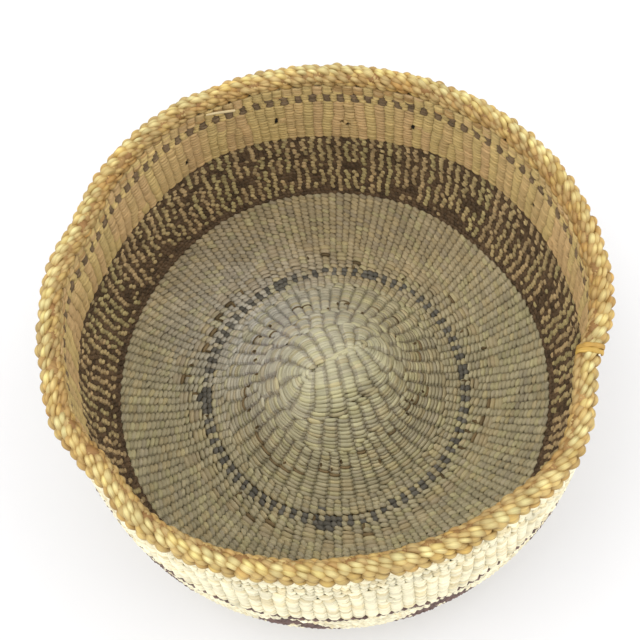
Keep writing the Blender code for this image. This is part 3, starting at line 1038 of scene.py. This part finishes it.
def build_beads(name, slot, node, r0, z0, face, across, thick, slant, run, dip, bright, dull, phase):
    """One rim course: two slim short strands over each rib, with their ends under the next."""
    m, sides = 11, 10
    t = np.linspace(-1, 1, m)
    n = RIM_RIBS * 2
    size = 1 + 0.12 * normal((n, 1))
    place = np.arange(n) // 2 + phase + 0.08 * normal(n)
    azimuth = (place[:, None] + run * t) / RIM_RIBS * tau
    beside = np.where(np.arange(n) % 2, 1, -1)[:, None] * across * 0.46
    arch = clamp(np.cos(t * pi / 2)) ** 0.7
    out = (arch - 1) * dip + 0.16 * normal((n, 1))
    aside = slant * t / 2 * (1 + 0.2 * normal((n, 1)))
    aside = aside + beside + 0.1 * normal((n, 1))
    up, level = sin(radians(face)), cos(radians(face))
    centres = round_points(r0 + level * out + up * aside, azimuth, z0 + up * out - level * aside)
    width = across * 0.62 * size * (0.72 + 0.28 * arch)
    u = rng.random((3, n, 1, 1, 1))
    # Painted highlight: the crown colour on the upper side of each strand's middle, fading to the strand's
    # own colour elsewhere.
    top = clamp(np.cos(np.arange(sides) / sides * tau)) ** 1.5
    light = (arch[:, None] ** 6 * top)[..., None] * (0.4 + 0.8 * u[0])
    colour = dull + (bright - dull) * light
    hue = np.where(u[2] > 0.8, [1.04, 1.0, 0.84], 1.0)
    hue = np.where(u[2] < 0.16, [0.99, 0.9, 0.78], hue)
    warm = (hash01(np.floor(place / 2.3), 0, 5) < 0.26)[:, None, None, None] * (0.5 + 0.5 * u[1])
    colour = colour * (0.9 + 0.18 * u[1]) * hue * (1 - warm * [0.05, 0.14, 0.26])
    add_short_tubes(
        name, centres, flat(outward(centres)) * level + UP * up, flat(colour), width,
        flat(thick * width / across / 0.72), t * 2, u[0].ravel() * 30, arch,
        24, "rim", slot, node, sides=sides,
    )


def build_core():
    """What the rim's courses lie on: two thick strands that change places at every rib."""
    usual, darker, paler = CORE
    middle_r, middle_z, twist, half, lean, salt = 70.7, 77.3, 0.4, 1.45, 1.7, 2.6
    azimuth = np.linspace(0, tau, RIM_RIBS * 6 + 1)
    strands = []
    for k in (0, 1):
        slip = np.interp(azimuth, np.linspace(0, tau, 90), rng.normal(0, 0.3, 90))
        phase = RIM_RIBS / 2 * azimuth + k * pi + slip + salt
        lump = np.floor((phase - lean) / tau + 0.5)
        u, v, w = (hash01(lump, k, salt + n) for n in (2, 5, 9))
        side, up = np.cos(phase), np.sin(phase)
        shown = 0.5 + 0.5 * np.cos(phase - lean)
        swell = (0.88 + 0.24 * v) * (0.7 + 0.38 * shown)
        away = twist * (0.9 + 0.2 * v)
        r = middle_r + away * side + 0.5 * (u - 0.5) * shown
        centres = round_points(r, azimuth, middle_z + away * up + 0.4 * (w - 0.5) * shown)
        base = usual * (0.86 + 0.26 * w)[:, None]
        base = blend(base, darker, np.clip(1.5 - u * 5, 0, 0.9))
        base = blend(base, paler, np.clip(u * 4 - 2.8, 0, 0.8))
        # Painted shade: darker where the strand turns under the other one.
        base = base * (0.8 + 0.22 * shown)[:, None]
        normals = outward(centres) * side[:, None] + UP * up[:, None]
        sizes = half * swell, half * 0.94 * swell
        strands.append(tube(centres, normals, base, *sizes, azimuth * RIM_RADIUS, np.floor(u * 40), shown))
    add_tubes("rim_core", join(strands), [len(azimuth)], 24, "rim", "orange_strand", "rim_bead_row", sides=8)


def build_loops():
    """Short strands outside, bent over each other from the top course up under the rim."""
    m, count = 7, RIM_RIBS
    r_low, r_high, z_low, z_high = 71.4, 72.0, 74.0, 76.2
    bulge, lean, half = 1.0, 1.6, 1.4
    t = np.linspace(0, 1, m)
    middle = (np.arange(count) + 0.15 * normal(count)) / count * tau
    azimuth = middle[:, None] + (lean / RIM_RADIUS) * (t - 0.5)
    r = r_low + (r_high - r_low) * t + bulge * np.sin(pi * t)
    r = r + 0.12 * normal((count, 1))
    centres = round_points(r, azimuth, z_low + (z_high - z_low) * t)
    u = rng.random(count)
    picked = GOLD[(u * len(GOLD)).astype(int)] * (0.8 + 0.35 * rng.random(count))[:, None]
    width = half * (1 + 0.1 * normal((count, 1))) * (0.75 + 0.25 * np.sin(pi * t))
    add_short_tubes(
        "rim_outer_loops", centres, flat(outward(centres)) + 0.15 * UP, np.repeat(picked, m, 0), width, 0.8,
        t * 6, u * 30, np.sin(pi * t), 24, "rim", "gold_strand", "rim_outer_row",
    )


build_core()
for k, course in enumerate(RIM_COURSES):
    build_beads(*course, phase=0.33 * k)
build_loops()


def build_finish():
    """The bright strand that closes the rim, in two turns."""
    n = 25
    t = np.linspace(0, 1, n)
    around = radians(188) - t * radians(196)
    middle_r, middle_z, wide, high = 71.3, 77.4, 3.0, 2.5
    turns = []
    for side, colour, seed in ((-1, srgb(198, 160, 78), 7.0), (1, srgb(188, 148, 72), 12.0)):
        sink = 0.12 * np.sin(t * 17 + side)
        r = middle_r + (wide + sink) * np.cos(around)
        z = middle_z + (high + sink) * np.sin(around)
        centres = round_points(r, radians(-22.0) + side * 0.0098 + 0.02 * t, z)
        normals = outward(centres) * np.cos(around)[:, None] + UP * np.sin(around)[:, None]
        turns.append(tube(centres, normals, colour, 0.7 + 0.08 * np.sin(t * 23), 0.3, t * 9, seed, 0.8))
    add_tubes("rim_finish_stitch", join(turns), [n], 2, "rim", "bright_strand", "rim_finish_strand", sides=8)


def single_tube(name, centres, normals, colour, width, thick, node):
    """A pale strand on its own."""
    rings = tube(centres, normals, colour, width, thick, np.arange(len(centres)) * 0.6, 7.0, 0.9)
    add_tubes(name, rings, [], 1, "pale", "pale_weft", node, sides=10)


def build_loose_end():
    """The weft's end that stands off the inside under the rim, at the back left."""
    t = np.linspace(0, 1, 21)
    azimuth = radians(104.5) + t * radians(7)
    r = 68.5 - 0.5 * np.sin(pi * t) + 0.3 * t
    z = 71.6 + 1.0 * np.sin(t * 2.4) + 1.6 * t
    centres = round_points(r, azimuth, z)
    colour, width, thick = srgb(226, 206, 160), 0.5 - 0.2 * t ** 4, 0.32 - 0.1 * t ** 4
    single_tube("loose_weft_strand", centres, -outward(centres), colour, width, thick, "loose_weft_end")


def build_start_core():
    """The strand that the first course is bent round."""
    reach = 1.2
    t = np.linspace(-1, 1, 15)
    ends = surface(0.0, SEAM + pi / 2 + np.array([0.0, pi]), reach)
    centres = ends[0] + (ends[1] - ends[0]) * (0.5 + 0.5 * t[:, None])
    middle = surface(0.0, SEAM, reach)
    centres[:, 2] = ends[0][2] + (middle[2] - ends[0][2]) * (1 - t ** 2)
    single_tube("start_core_strand", centres, UP, PALE, 1.1, 0.6, "start_knot")


build_finish()
build_loose_end()
build_start_core()


# Floor, light and camera

# Lamps: name, place, size, power, colour
LAMPS = (
    ("key", (-0.4, 0.05, 0.75), 0.6, 2.1, (1, 0.99, 0.97)),
    ("fill", (0.5, 0.0, 0.55), 0.7, 1.55, (0.99, 0.99, 1)),
    ("front", (-0.15, -0.6, 0.5), 0.5, 0.7, (1, 1, 1)),
)
LAMP_AIM = Vector((0, 0, 0.03))


def area_light(name, place, size, power, colour):
    data = bpy.data.lights.new(name, "AREA")
    data.shape = "DISK"
    data.size = size
    data.energy = power
    data.color = colour
    lamp = add_object(name, data)
    lamp.location = place
    lamp.rotation_euler = (LAMP_AIM - Vector(place)).to_track_quat("-Z", "Y").to_euler()


def build_stage():
    mesh = bpy.data.meshes.new("floor")
    half = 3.0
    corners = [(-half, -half, 0), (half, -half, 0), (half, half, 0), (-half, half, 0)]
    mesh.from_pydata(corners, [], [(0, 1, 2, 3)])
    floor = add_object("floor", mesh)
    white, _, inputs = new_material("floor_white")
    inputs["Base Color"].default_value = (0.8, 0.8, 0.815, 1)
    inputs["Roughness"].default_value = 0.9
    inputs["Specular IOR Level"].default_value = 0.1
    mesh.materials.append(white)


def build_world():
    """Soft light from all round, and plain white behind the bowl."""
    world = bpy.data.worlds.new("studio")
    bpy.context.scene.world = world
    world.use_nodes = True
    tree = world.node_tree
    white = (1, 1, 1, 1)
    light = tree.nodes["Background"]
    light.inputs["Color"].default_value = white
    light.inputs["Strength"].default_value = 0.96
    plain = add_node(tree, "Background", settings={"Color": white})
    seen = add_node(tree, "LightPath", output="Is Camera Ray")
    mix = add_node(tree, "MixShader", {"Fac": seen, 1: light.outputs[0], 2: plain})
    tree.links.new(mix, tree.nodes["World Output"].inputs["Surface"])


def build_camera():
    """The camera of the fit to the photograph's ellipses."""
    pitch, yaw, roll = radians(66.96), radians(-0.725), radians(-9.03)
    data = bpy.data.cameras.new("camera")
    data.sensor_width = 36
    data.lens = 47.8
    data.clip_start = 0.01
    camera = add_object("camera", data)
    pose = Matrix.Translation((0.0, -0.0911, 0.2767))
    for angle, axis in ((-yaw, "Z"), (pi / 2 - pitch, "X"), (roll, "Z")):
        pose = pose @ Matrix.Rotation(angle, 4, axis)
    camera.matrix_world = pose
    bpy.context.scene.camera = camera


build_stage()
build_world()
build_camera()
for lamp in LAMPS:
    area_light(*lamp)
bpy.context.scene.view_settings.view_transform = "Standard"
